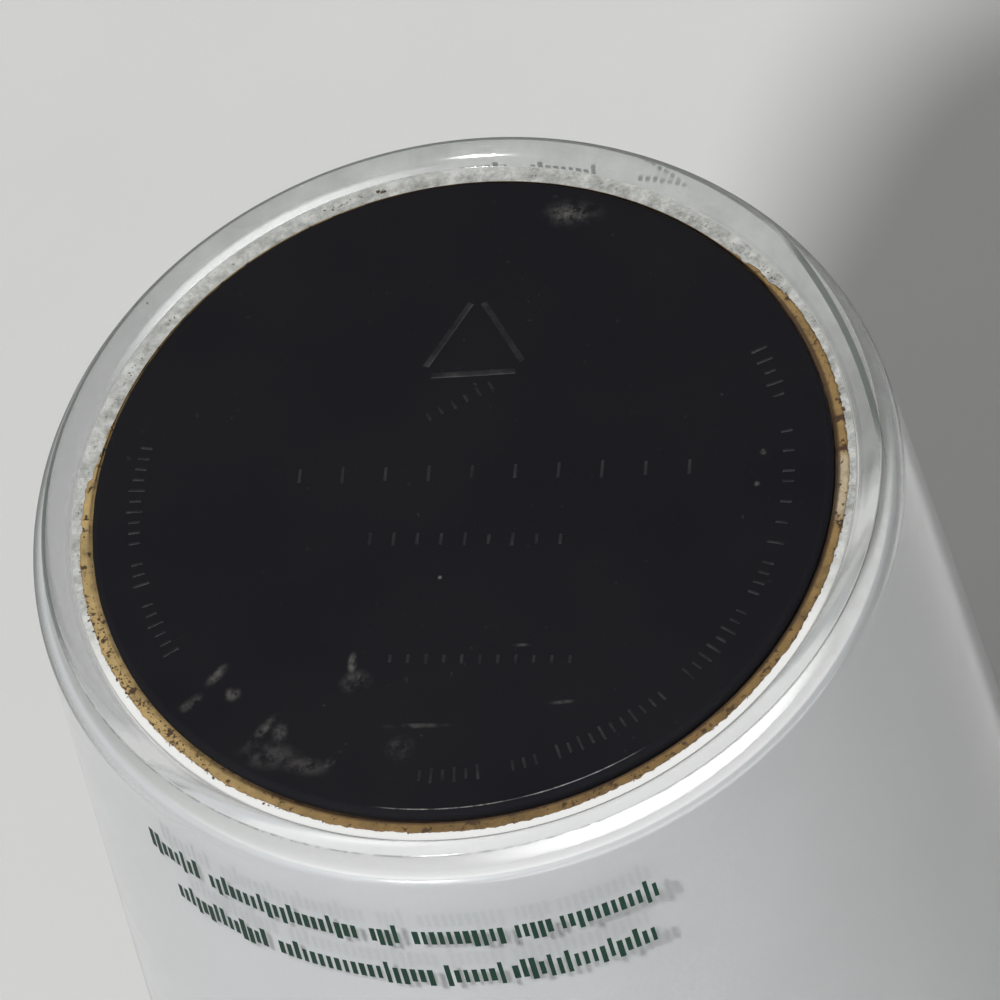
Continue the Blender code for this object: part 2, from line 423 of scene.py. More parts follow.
def shell_tint(nodes, links):
    """Clear, with grime along the edge that the foot stands on."""
    radius, flat, height = from_axis(nodes, links)
    broken = ramp(nodes, links, noise_of(nodes, links, 800.0, 5.0, 0.7), [(0.44, 0.0), (0.54, 1.0)])
    whole = toward(nodes, links, flat, -38, 20, 28)
    line = band(nodes, links, radius, *CONTACT_LINE, 0.04)
    line = times(nodes, links, line, rising(nodes, links, height, 154.4, 154.7))
    line = times(nodes, links, line, larger(nodes, links, broken, whole))
    line = times(nodes, links, line, toward(nodes, links, flat, -112, -10, 6))
    strength = map_range(nodes, links, whole, 0.0, 1.0, 0.55, 0.92)
    return mixed(nodes, links, times(nodes, links, line, strength), CLEAR_TINT, GRIME)


def ring_wear_painted_light_and_shade(nodes, links):
    """How far the foot ring is scuffed, which is partly painted light, and its painted shade: where its
    thick edge is seen edge on, in a sliver on its right and along its far edge.
    """
    radius, flat, height = from_axis(nodes, links)
    # Pale scuffing on the ring's slope, placed towards the far right where the plug shades what lies
    # below: scuff, and painted light on that shaded band.
    patches = ramp(nodes, links, noise_of(nodes, links, 260.0, 6.0, 0.65), [(0.35, 0.14), (0.65, 0.32)])
    worn = times(nodes, links, patches, rising(nodes, links, height, 153.3, 153.9))
    worn = times(nodes, links, worn, toward(nodes, links, flat, 38, -14, 12))
    # Painted shade: the ring is darkened where its thick edge is seen edge on.
    weight = add(nodes, "LayerWeight", Blend=0.5)
    edge = map_range(nodes, links, weight.outputs["Facing"], 0.60, 0.90, 0.0, 0.9)
    edge = times(nodes, links, edge, rising(nodes, links, height, 151.4, 152.2))
    edge = larger(nodes, links, edge, painted_right_sliver(nodes, links, radius, flat, height))
    return worn, larger(nodes, links, edge, painted_far_outline(nodes, links, radius, flat, height))


def painted_right_sliver(nodes, links, radius, flat, height):
    """A dark sliver of painted shade on the ring's right side, where the ring shows something dark
    through it. It is bowed less than the ring and tapers at both ends.
    """
    angle = math.radians(SLIVER_AZIMUTH)
    ahead = along(nodes, links, flat, (math.cos(angle), math.sin(angle), 0))
    bow = math_node(nodes, links, "ADD", radius, times(nodes, links, ahead, SLIVER_BOW))
    sliver = band(nodes, links, bow, *SLIVER_BAND, 0.15)
    sliver = times(nodes, links, sliver, toward(nodes, links, flat, SLIVER_AZIMUTH, 30.4, 31.5))
    return times(nodes, links, sliver, rising(nodes, links, height, 154.3, 154.5, 0.92))


def painted_far_outline(nodes, links, radius, flat, height):
    """A dark line of painted shade along the ring's far edge."""
    line = band(nodes, links, radius, *FAR_LINE, 0.06)
    line = times(nodes, links, line, toward(nodes, links, flat, 106, 2, 9))
    return times(nodes, links, line, rising(nodes, links, height, 154.5, 154.8, 0.75))


def clear_material():
    """Clear moulded plastic. Light goes straight to what is behind it, as through a thin wall."""
    made, nodes, links = new_material("clear plastic")
    plastic = add(nodes, "BsdfPrincipled", IOR=1.49, Metallic=0.0)
    links.new(shell_tint(nodes, links), plastic.inputs["Base Color"])
    rubbed = noise_of(nodes, links, 150.0, 4.0)
    links.new(ramp(nodes, links, rubbed, [(0.35, 0.07), (0.65, 0.13)]), plastic.inputs["Roughness"])
    plastic.inputs["Transmission Weight"].default_value = 1.0
    scuffs = noise_of(nodes, links, 900.0, 6.0)
    links.new(bump(nodes, links, scuffs, 0.05, 0.0001), plastic.inputs["Normal"])
    through = add(nodes, "BsdfTransparent", Color=colour(SEEN_THROUGH))
    rays = add(nodes, "LightPath")
    worn, edge = ring_wear_painted_light_and_shade(nodes, links)
    solid = plastic.outputs["BSDF"]
    # The scuff is partly painted light, and the edge tint is painted shade.
    for factor, tone in ((worn, SCUFF_AND_PAINTED_LIGHT), (edge, PAINTED_EDGE_SHADE)):
        dull = add(nodes, "BsdfPrincipled", Roughness=0.6, Metallic=0.0)
        dull.inputs["Base Color"].default_value = colour(tone)
        solid = layered(nodes, links, factor, solid, dull.outputs["BSDF"])
    lit = layered(nodes, links, rays.outputs["Is Diffuse Ray"], solid, through.outputs["BSDF"])
    shaded = layered(nodes, links, rays.outputs["Is Shadow Ray"], lit, through.outputs["BSDF"])
    show(nodes, links, shaded)
    return made


def moulded_material(name, base, roughness, mottle=0.04, specular=0.5):
    """Moulded plastic with faint mottling and a fine grain."""
    made, nodes, links = new_material(name)
    plastic = add(nodes, "BsdfPrincipled", Roughness=roughness, Metallic=0.0)
    plastic.inputs["Specular IOR Level"].default_value = specular
    pattern = noise_of(nodes, links, 60.0, 5.0)
    dark = tuple(value * (1 - mottle) for value in base)
    light = tuple(min(value * (1 + mottle), 1.0) for value in base)
    links.new(ramp(nodes, links, pattern, [(0.3, dark), (0.7, light)]), plastic.inputs["Base Color"])
    fine = noise_of(nodes, links, 2500.0, 3.0)
    links.new(bump(nodes, links, fine, 0.15, 0.0002), plastic.inputs["Normal"])
    show(nodes, links, plastic.outputs["BSDF"])
    return made


def liner_material():
    """The liner, with painted light on the near side of its flange, where the foot ring gathers light on
    it, and painted shade on the far side, where the plug shades it.
    """
    made = moulded_material("white liner", LINER_WHITE, 0.5)
    nodes, links = made.node_tree.nodes, made.node_tree.links
    _, flat, height = from_axis(nodes, links)
    base = nodes["Principled BSDF"].inputs["Base Color"]
    wall = base.links[0].from_socket
    # Painted light and shade: the flange's top is painted whiter towards the near side and darker
    # towards the far side.
    flange = mixed(nodes, links, toward(nodes, links, flat, -75, -6, 28), FLANGE_PAINTED_SHADE, FLANGE_PAINTED_LIGHT)
    on_flange = rising(nodes, links, height, FLANGE_TOP - 0.15, FLANGE_TOP - 0.05)
    links.new(mixed(nodes, links, on_flange, wall, flange), base)
    return made


def coffee_material():
    """Dried coffee: tan to brown in patches, darker at the edges of the stain, with painted shade beside
    the plug and on the near side.
    """
    made, nodes, links = new_material("dried coffee")
    crust = add(nodes, "BsdfPrincipled", Roughness=0.75, Metallic=0.0)
    patches = noise_of(nodes, links, 420.0, 8.0, 0.75)
    stain = add(nodes, "Attribute", attribute_name="stain")
    shade = add(nodes, "Mix", data_type="RGBA", blend_type="MULTIPLY")
    shade.inputs["Factor"].default_value = 1.0
    mottle = ramp(nodes, links, patches, [(0.30, 0.30), (0.45, 0.80), (0.68, 1.20)])
    links.new(stain.outputs["Color"], shade.inputs["A"])
    links.new(mottle, shade.inputs["B"])
    pepper = ramp(nodes, links, noise_of(nodes, links, 1700.0, 3.0, 0.6), [(0.36, 1.0), (0.43, 0.0)])
    peppered = mixed(nodes, links, pepper, shade.outputs["Result"], COFFEE_PEPPER)
    links.new(peppered, crust.inputs["Base Color"])
    links.new(bump(nodes, links, patches, 0.6, 0.0002), crust.inputs["Normal"])
    show(nodes, links, crust.outputs["BSDF"])
    return made


def speck_material():
    """Dark crumbs of dried coffee."""
    made, nodes, links = new_material("coffee specks")
    crust = add(nodes, "BsdfPrincipled", Roughness=0.8, Metallic=0.0)
    patches = noise_of(nodes, links, 700.0, 3.0)
    brown = ramp(nodes, links, patches, [(0.35, SPECK_DARK), (0.65, SPECK_BROWN)])
    links.new(brown, crust.inputs["Base Color"])
    show(nodes, links, crust.outputs["BSDF"])
    return made


# How far a smudge reaches above and below the plug's face
SMUDGE_DEPTH = 2.0

# Where the plug is smudged: middle, half length, half width, turn in degrees, and how pale
SMUDGES = [
    ((15.0, 21.6), 1.9, 0.75, -22, 0.9),
    ((15.2, 21.5), 2.4, 1.3, -22, 0.30),
    ((-21.9, -9.4), 1.1, 0.45, 32, 0.6),
    ((-24.4, -11.1), 1.2, 0.45, 22, 0.5),
    ((-21.2, -11.5), 0.7, 0.6, 0, 0.6),
    ((-11.8, -12.2), 0.9, 0.35, 70, 0.9),
    ((-12.0, -13.9), 1.2, 1.0, 0, 0.38),
    ((-20.0, -15.6), 1.9, 0.42, 35, 0.55),
    ((-18.6, -16.2), 0.6, 1.1, -20, 0.42),
    ((-19.8, -17.8), 2.4, 1.2, -25, 0.28),
    ((-17.6, -19.6), 2.0, 0.8, -30, 0.32),
    ((-15.4, -19.9), 1.0, 0.35, 30, 0.5),
    ((-10.3, -20.8), 1.1, 1.0, 0, 0.30),
    ((-8.5, -19.4), 2.6, 0.22, -20, 0.35),
    ((2.3, -21.4), 1.1, 0.18, -15, 0.35),
    ((0.7, -15.4), 0.7, 0.16, -20, 0.4),
    ((22.9, -5.6), 0.28, 0.28, 0, 1.0),
    ((21.6, -8.2), 0.24, 0.24, 0, 1.0),
    ((21.4, 0.7), 0.20, 0.20, 0, 0.9),
    ((-3.5, -7.3), 0.18, 0.18, 0, 1.0),
]


def smudged(nodes, links):
    """How pale the plug is with all its smudges, each a soft ellipse broken up by a grain."""
    place = add(nodes, "TexCoord")
    total = None
    for (x, y), half_length, half_width, turn, strength in SMUDGES:
        spot = add(nodes, "Mapping", vector_type="TEXTURE")
        spot.inputs["Location"].default_value = (x * MM, y * MM, PLUG_TOP * MM)
        spot.inputs["Rotation"].default_value = (0, 0, math.radians(turn))
        spot.inputs["Scale"].default_value = (half_length * MM, half_width * MM, SMUDGE_DEPTH * MM)
        links.new(place.outputs["Object"], spot.inputs["Vector"])
        distance = add(nodes, "VectorMath", operation="LENGTH")
        links.new(spot.outputs["Vector"], distance.inputs[0])
        mask = map_range(nodes, links, distance.outputs["Value"], 1.3, 0.2, 0.0, strength)
        total = mask if total is None else larger(nodes, links, total, mask)
    grain = ramp(nodes, links, noise_of(nodes, links, 850.0, 8.0, 0.75), [(0.42, 0.0), (0.58, 1.0)])
    return times(nodes, links, total, grain)


def worn_edge_highlight(nodes, links, radius, flat):
    """A thin broken line where the plug's face turns down, on the side nearest the camera: wear, and a
    painted highlight.
    """
    line = band(nodes, links, radius, *PLUG_EDGE_LINE, 0.04)
    side = toward(nodes, links, flat, -97, 26.2, 27.6)
    broken = ramp(nodes, links, noise_of(nodes, links, 900.0, 4.0, 0.7), [(0.40, 0.15), (0.62, 1.0)])
    return times(nodes, links, line, times(nodes, links, side, broken))


def dusty_mark_material():
    """The plug's low marks, paler where dust has settled on them."""
    made, nodes, links = new_material("dusty black plastic")
    plastic = add(nodes, "BsdfPrincipled", Roughness=0.6, Metallic=0.0)
    plastic.inputs["Specular IOR Level"].default_value = 0.25
    patches = noise_of(nodes, links, 500.0, 6.0, 0.75)
    dusty = ramp(nodes, links, patches, [(0.40, MARK_DARK), (0.68, MARK_DUSTY)])
    links.new(dusty, plastic.inputs["Base Color"])
    show(nodes, links, plastic.outputs["BSDF"])
    return made


def film_material():
    """A pale dried film, uneven and in places worn through, with painted light: whiter and fuller
    towards the near side.
    """
    made, nodes, links = new_material("dried film")
    film = add(nodes, "BsdfPrincipled", Roughness=0.6, Metallic=0.0)
    patches = noise_of(nodes, links, 700.0, 6.0, 0.75)
    # Painted light: towards the near side the film is painted whiter and covers more.
    painted_light_side = toward(nodes, links, from_axis(nodes, links)[1], -105, 4, 16)
    mottled = ramp(nodes, links, patches, [(0.32, FILM_THIN), (0.62, FILM_THICK)])
    links.new(mixed(nodes, links, painted_light_side, mottled, FILM_PAINTED_LIGHT), film.inputs["Base Color"])
    worn = ramp(nodes, links, patches, [(0.30, 0.35), (0.60, 0.80)])
    links.new(mixed(nodes, links, painted_light_side, worn, FILM_COVER), film.inputs["Alpha"])
    show(nodes, links, film.outputs["BSDF"])
    return made


def plug_material():
    """Satin black plastic with a dusty film, pale smudges and a worn edge that is also a painted
    highlight.
    """
    made, nodes, links = new_material("black plastic")
    plastic = add(nodes, "BsdfPrincipled", Metallic=0.0)
    plastic.inputs["Specular IOR Level"].default_value = 0.10
    radius, flat, _ = from_axis(nodes, links)
    film = noise_of(nodes, links, 45.0, 6.0, 0.6)
    tone = ramp(nodes, links, film, [(0.35, PLUG_BLACK), (0.75, PLUG_FADED)])
    tone = mixed(nodes, links, smudged(nodes, links), tone, PLUG_SMUDGE)
    dust = ramp(nodes, links, noise_of(nodes, links, 1500.0, 2.0), [(0.70, 0.0), (0.76, 1.0)])
    patchy = ramp(nodes, links, noise_of(nodes, links, 90.0, 5.0, 0.7), [(0.40, 0.0), (0.70, 0.6)])
    tone = mixed(nodes, links, times(nodes, links, dust, patchy), tone, PLUG_DUST)
    tone = mixed(nodes, links, worn_edge_highlight(nodes, links, radius, flat), tone, PLUG_WORN_HIGHLIGHT)
    links.new(tone, plastic.inputs["Base Color"])
    gloss = ramp(nodes, links, film, [(0.3, 0.42), (0.7, 0.54)])
    dull = map_range(nodes, links, radius, 28.3 * MM, 28.4 * MM, 0.0, 0.9)
    links.new(larger(nodes, links, gloss, dull), plastic.inputs["Roughness"])
    fine = noise_of(nodes, links, 1800.0, 3.0)
    links.new(bump(nodes, links, fine, 0.2, 0.00005), plastic.inputs["Normal"])
    show(nodes, links, plastic.outputs["BSDF"])
    return made


# Dried coffee round the plug


def coffee_cover(azimuth):
    """How far the dried coffee spreads over the groove's floor at an azimuth, from 0 to 1."""
    turn = (azimuth + 270) % 360 - 180
    spread = noise.fractal(polar(12, azimuth, 0) / MM, 0.8, 2.1, 4)
    near_end = 1 - smoothstep(100, 122, turn + 8 * spread)
    far_end = smoothstep(-128, -100, turn + 8 * spread)
    return near_end * far_end


# Azimuths of the cracks across the crust, and its least height in the gap beside the plug
CRACKS = (-8.5, -14.0)
CRUST_LEVEL = 153.45


def coffee_stain(azimuth, share):
    """Colour of the crust at an azimuth and at a share of its width, from the plug outwards, with
    painted shade on the near side and beside the plug.
    """
    left = smoothstep(-110, -165, azimuth - 360 if azimuth > 90 else azimuth)
    # Painted shade: the crust is painted darker on the near side.
    near = smoothstep(60, 20, abs(azimuth + 88))
    pale = smoothstep(7, 4, abs(azimuth + 20.5))
    # Darker beside the plug: the stain's dark edge, and painted shade in the gap, which is weaker on the
    # lit left.
    inner = (0.9 - 0.6 * left) * smoothstep(0.55, 0.25, share)
    outer = 0.8 * smoothstep(0.88, 1.0, share)
    crack = max(smoothstep(0.6, 0.3, abs(azimuth - place)) for place in CRACKS)
    tone = Vector(COFFEE_TAN)
    layers = [(COFFEE_LEFT, left), (COFFEE_PAINTED_SHADE, near), (COFFEE_PALE, pale), (COFFEE_INNER_LINE_AND_SHADE, inner)]
    layers += [(COFFEE_OUTER_LINE, outer), (COFFEE_CRACK, crack)]
    for layer, amount in layers:
        tone = tone.lerp(Vector(layer), amount)
    return tone


def crust_mesh():
    """A ragged crust that fills the gap beside the plug and spreads over the floor of the groove."""
    steps = 5 * TURN_STEPS
    work = bmesh.new()
    stain = work.verts.layers.float_color.new("stain")
    inner = PLUG_RADIUS + 0.02
    floor = GROOVE_FLOOR + 0.025
    rings = []
    for step in range(steps):
        azimuth = 360 * step / steps
        place = polar(30, azimuth, 0) / MM
        ragged = noise.fractal(place * 1.6, 0.7, 2.2, 5)
        slow = noise.noise(place * 0.25)
        cover = coffee_cover(azimuth)
        outer = BORE_RADIUS + 0.02 + cover * (0.80 + 0.10 * slow + 0.10 * ragged)
        lift = 0.02 + cover * (0.035 + 0.015 * abs(noise.noise(place * 3)))
        signed = (azimuth + 180) % 360 - 180
        filled = max(smoothstep(-60, -165, signed), smoothstep(-30, 5, signed))
        level = CRUST_LEVEL + 0.33 * filled * cover + 0.05 * slow + 0.04 * ragged
        width = outer - BORE_RADIUS
        section = [
            (inner, level - 0.25, 0.0),
            (inner, level, 0.0),
            (BORE_RADIUS - 0.03, level + 0.12, 0.1),
            (BORE_RADIUS + 0.01, floor + lift, 0.2),
            (BORE_RADIUS + 0.12 * width, floor + lift, 0.3),
            (BORE_RADIUS + 0.30 * width, floor + lift, 0.55),
            (BORE_RADIUS + 0.75 * width, floor + lift, 0.8),
            (outer - 0.04, floor + lift * 0.8, 0.93),
            (outer, floor, 1.0),
            (BORE_RADIUS - 0.015, floor, 0.3),
            (BORE_RADIUS - 0.02, level - 0.25, 0.1),
        ]
        ring = []
        for radius, height, share in section:
            corner = work.verts.new(polar(radius, azimuth, height))
            corner[stain] = colour(coffee_stain(signed, share))
            ring.append(corner)
        rings.append(ring)
    for first, second in zip(rings, rings[1:] + rings[:1]):
        for index in range(len(first)):
            onward = (index + 1) % len(first)
            work.faces.new((first[index], second[index], second[onward], first[onward]))
    return finish_mesh("coffee_crust", work, 60)


# Dried film: its gap to the groove's floor, its thickness, and the bare margin at its edges
FILM_CLEAR = 0.004
FILM_DEPTH = 0.006
FILM_MARGIN = 0.05


def film_mesh():
    """A skin a few thousandths of a millimetre thick on the groove's floor."""
    low = GROOVE_FLOOR + FILM_CLEAR
    high = low + FILM_DEPTH
    inner = BORE_RADIUS + FILM_MARGIN
    outer = GROOVE_OUTER - FILM_MARGIN
    section = [(inner, low), (outer, low), (outer, high), (inner, high)]
    return turned("dried_film", [(radius * MM, height * MM) for radius, height in section], True)


def add_speck(work, azimuth, radius, height, size, draws):
    """A flat-bottomed crumb, wider than it is high."""
    place = Matrix.Translation(polar(radius, azimuth, height))
    turn = Matrix.Rotation(math.radians(draws.uniform(0, 360)), 4, "Z")
    wide = size * draws.uniform(0.8, 1.4) * MM
    deep = size * draws.uniform(0.6, 1.0) * MM
    shape = Matrix.Diagonal((wide / 2, deep / 2, size * 0.25 * MM, 1.0))
    made = bmesh.ops.create_icosphere(work, subdivisions=1, radius=1.0, matrix=place @ turn @ shape)
    for corner in made["verts"]:
        corner.co += Vector([draws.uniform(-0.12, 0.12) * size * MM for _ in range(3)])


# Radii of the crust's outer and inner edges and of the tide line, and crumbs along the edges
OUTER_EDGE = 29.98
INNER_EDGE = 29.28
TIDE_RADIUS = 29.92
OUTER_CRUMBS = 230
INNER_CRUMBS = 220

# Crumbs strewn on the crust: count, start and end azimuth, least and greatest size, and radii
THICK_SPECKS = [
    (150, -182, -145, 0.06, 0.20, (29.25, 30.1)),
    (140, -145, 25, 0.05, 0.13, (29.2, 29.9)),
]

# Single crumbs: azimuth, radius and size
LONE_SPECKS = [(-179, 30.15, 0.26), (-144, 30.15, 0.24), (-135, 30.12, 0.22), (-7.2, 30.0, 0.34)]

# One crumb high on the ring's inner slope: azimuth, radius, height and size
RING_SPECK = (126, 31.95, FOOT_HEIGHT - 0.14, 0.22)

# Crumbs of the tide line: start and end azimuth, count and greatest size
TIDE_LINE = [
    (48, 60, 10, 0.10),
    (63, 64, 3, 0.16),
    (86, 88, 7, 0.30),
    (90, 97, 16, 0.16),
    (112, 113, 3, 0.14),
    (125, 127, 4, 0.16),
    (133, 140, 14, 0.14),
    (140, 165, 26, 0.11),
    (22, 40, 26, 0.11),
]


def specks_mesh():
    """Dark crumbs along both edges of the crust, and the tide line on the bare far floor."""
    draws = random.Random(11)
    work = bmesh.new()
    floor = GROOVE_FLOOR + 0.03
    on_crust = floor + 0.05
    for _ in range(OUTER_CRUMBS):
        azimuth = draws.uniform(-200, 22)
        size = draws.uniform(0.05, 0.17)
        radius = OUTER_EDGE + draws.gauss(0, 0.07)
        add_speck(work, azimuth, radius, floor + size * 0.2, size, draws)
    for count, start, end, smallest, largest, radii in THICK_SPECKS:
        for _ in range(count):
            azimuth = draws.uniform(start, end)
            size = draws.uniform(smallest, largest)
            radius = draws.uniform(*radii)
            add_speck(work, azimuth, radius, on_crust + size * 0.2, size, draws)
    for _ in range(INNER_CRUMBS):
        size = draws.uniform(0.04, 0.11)
        azimuth = draws.uniform(-185, 22)
        radius = INNER_EDGE + abs(draws.gauss(0, 0.06))
        add_speck(work, azimuth, radius, on_crust, size, draws)
    for azimuth, radius, size in LONE_SPECKS:
        add_speck(work, azimuth, radius, on_crust, size, draws)
    add_speck(work, *RING_SPECK, draws)
    for start, end, count, largest in TIDE_LINE:
        for _ in range(count):
            azimuth = draws.uniform(start, end)
            size = draws.uniform(0.05, largest)
            radius = TIDE_RADIUS + draws.gauss(0, 0.09)
            add_speck(work, azimuth, radius, floor + size * 0.2, size, draws)
    return finish_mesh("coffee_specks", work, 60)


# Print on the shell and low marks moulded on the plug

# How far the ink's inside is sunk in the shell, so that it shows from within too, and how thick it is
INK_SINK = 0.012
INK_DEPTH = 0.03


def add_patch(work, azimuth, width, low, high, steps=2):
    """A thin bar of ink that follows the shell's taper. The azimuth is its middle."""
    half = math.degrees(width / 2 / wall_radius((low + high) / 2))
    columns = []
    for step in range(steps + 1):
        turn = azimuth + half * (2 * step / steps - 1)
        column = []
        for height in (low, high):
            for off in (-INK_SINK, INK_DEPTH - INK_SINK):
                column.append(work.verts.new(polar(wall_radius(height) + off, turn, height)))
        columns.append(column)
    for first, second in zip(columns, columns[1:]):
        for a, b in ((0, 1), (1, 3), (3, 2), (2, 0)):
            work.faces.new((first[a], first[b], second[b], second[a]))
    work.faces.new([columns[0][index] for index in (0, 2, 3, 1)])
    work.faces.new([columns[-1][index] for index in (0, 1, 3, 2)])


# Rows of ink bars: low and high edge, and the start and end azimuth of each group
UPPER_ROW = [(-81.8, -95.1), (-95.8, -100.8), (-101.9, -113.8), (-115.4, -119.3), (-120.8, -142.4)]
UPPER_ROW += [(-143.9, -152.8)]
LOWER_ROW = [(-83.7, -102.6), (-103.3, -111.1), (-112.3, -133.4), (-134.9, -149.6)]
PRINT_ROWS = [
    (144.9, 147.3, UPPER_ROW),
    (139.6, 142.0, LOWER_ROW),
    (150.0, 150.14, [(38, 50)]),
    (149.2, 150.3, [(56, 66), (69, 76), (80, 86)]),
]

# Distance from bar to bar, and least and greatest width
BAR_PITCH = 0.66
BAR_WIDTHS = (0.32, 0.48)


def print_mesh():
    """Rows of upright bars of ink, in groups, of uneven height and spacing."""
    draws = random.Random(4)
    work = bmesh.new()
    for low, high, groups in PRINT_ROWS:
        body = low + (high - low) * 0.70
        pitch = math.degrees(BAR_PITCH / wall_radius(low))
        for start, end in groups:
            count = max(2, round(abs(end - start) / pitch))
            for number in range(count):
                azimuth = start + (end - start) * (number + 0.5) / count
                top = draws.choice((body, body, body, high))
                below = low - 0.2 * (high - low)
                bottom = draws.choice((low, low, low, below))
                add_patch(work, azimuth, draws.uniform(*BAR_WIDTHS), bottom, top)
    return finish_mesh("print_bars", work, 60)


def add_mark(work, x, y, length, width, turn, rise):
    """A low bar with sloping sides on the plug's face."""
    spin = Matrix.Rotation(math.radians(turn), 4, "Z")
    place = Matrix.Translation(Vector((x, y, PLUG_TOP)) * MM) @ spin
    corners = []
    for scale, height in ((1.0, -0.02), (1.0, 0.01), (0.8, rise)):
        ring = []
        for right, ahead in ((-1, -1), (1, -1), (1, 1), (-1, 1)):
            point = Vector((right * length / 2, ahead * width / 2 * scale, height)) * MM
            ring.append(work.verts.new(place @ point))
        corners.append(ring)
    for lower, upper in zip(corners, corners[1:]):
        for index in range(4):
            onward = (index + 1) % 4
            work.faces.new((lower[index], lower[onward], upper[onward], upper[index]))
    work.faces.new(corners[0][::-1])
    work.faces.new(corners[-1])


# The triangle of three bars on the plug: middle, inner radius, and each bar's length, width and rise
TRIANGLE_MIDDLE = (4.6, 12.2)
TRIANGLE_INRADIUS = 2.5
TRIANGLE_SIDE = 6.6
TRIANGLE_WIDTH = 0.5
TRIANGLE_RISE = 0.04

# Rows of ticks on the plug: two ends, a count and how long the ticks are
ROW_TICK_WIDTH = 0.24
ROW_TICK_RISE = 0.035
MARK_ROWS = [
    ((-0.5, 7.2), (4.8, 8.2), 6, 1.0),
    ((-11.4, 5.7), (17.2, -4.8), 10, 1.7),
    ((-7.7, -1.9), (6.1, -7.4), 9, 1.2),
    ((-9.0, -12.9), (3.9, -18.0), 11, 0.9),
]

# Arcs of ticks near the plug's edge: two azimuths and a count, of which a share is left out
ARC_TICK_WIDTH = 0.22
ARC_TICK_RISE = 0.03
TICK_RADIUS = 25.5
TICK_SKIPPED = 0.15
MARK_ARCS = [(150, 196, 22), (-112, -66, 24), (-62, -14, 24), (-10, 8, 8)]


def marks_mesh():
    """Plain bars and ticks, low on the plug's face, in the places of its moulded marks."""
    draws = random.Random(7)
    work = bmesh.new()
    for turn in (-18, 102, 222):
        angle = math.radians(turn - 90)
        x = TRIANGLE_MIDDLE[0] + TRIANGLE_INRADIUS * math.cos(angle)
        y = TRIANGLE_MIDDLE[1] + TRIANGLE_INRADIUS * math.sin(angle)
        add_mark(work, x, y, TRIANGLE_SIDE, TRIANGLE_WIDTH, turn, TRIANGLE_RISE)
    for (x0, y0), (x1, y1), count, tall in MARK_ROWS:
        slope = math.degrees(math.atan2(y1 - y0, x1 - x0))
        for number in range(count):
            share = number / (count - 1)
            x = x0 + (x1 - x0) * share
            y = y0 + (y1 - y0) * share
            length = tall * draws.uniform(0.7, 1.0)
            add_mark(work, x, y, length, ROW_TICK_WIDTH, slope + 90, ROW_TICK_RISE)
    for start, end, count in MARK_ARCS:
        for number in range(count):
            azimuth = start + (end - start) * number / (count - 1)
            if draws.random() < TICK_SKIPPED:
                continue
            spot = polar(TICK_RADIUS, azimuth, 0) / MM
            length = draws.choice((0.9, 0.9, 1.3))
            add_mark(work, spot.x, spot.y, length, ARC_TICK_WIDTH, azimuth, ARC_TICK_RISE)
    return finish_mesh("plug_marks", work, 60)


# Floor, lights and camera


def make_floor():
    """A plain pale floor, slightly cloudy."""
    bpy.ops.mesh.primitive_plane_add(size=40.0)
    floor = bpy.context.object
    floor.name = "floor"
    made, nodes, links = new_material("floor")
    matt = add(nodes, "BsdfPrincipled", Roughness=0.7)
    matt.inputs["Specular IOR Level"].default_value = 0.2
    cloudy = noise_of(nodes, links, 7.0, 4.0)
    pale = tuple(value * 1.03 for value in FLOOR_GREY)
    dull = tuple(value * 0.97 for value in FLOOR_GREY)
    links.new(ramp(nodes, links, cloudy, [(0.35, dull), (0.65, pale)]), matt.inputs["Base Color"])
    show(nodes, links, matt.outputs["BSDF"])
    floor.data.materials.append(made)


def make_key_light():
    """One soft light from the left of the camera, as wide as the edge of the cup's shadow shows."""
    lamp = bpy.data.lights.new("key", "SUN")
    lamp.energy = KEY_STRENGTH
    lamp.angle = math.radians(KEY_WIDTH)
    holder = bpy.data.objects.new("key", lamp)
    bpy.context.scene.collection.objects.link(holder)
    rise = math.radians(KEY_ELEVATION)
    outward = polar(math.cos(rise), KEY_AZIMUTH, math.sin(rise))
    holder.rotation_euler = outward.to_track_quat("Z", "Y").to_euler()


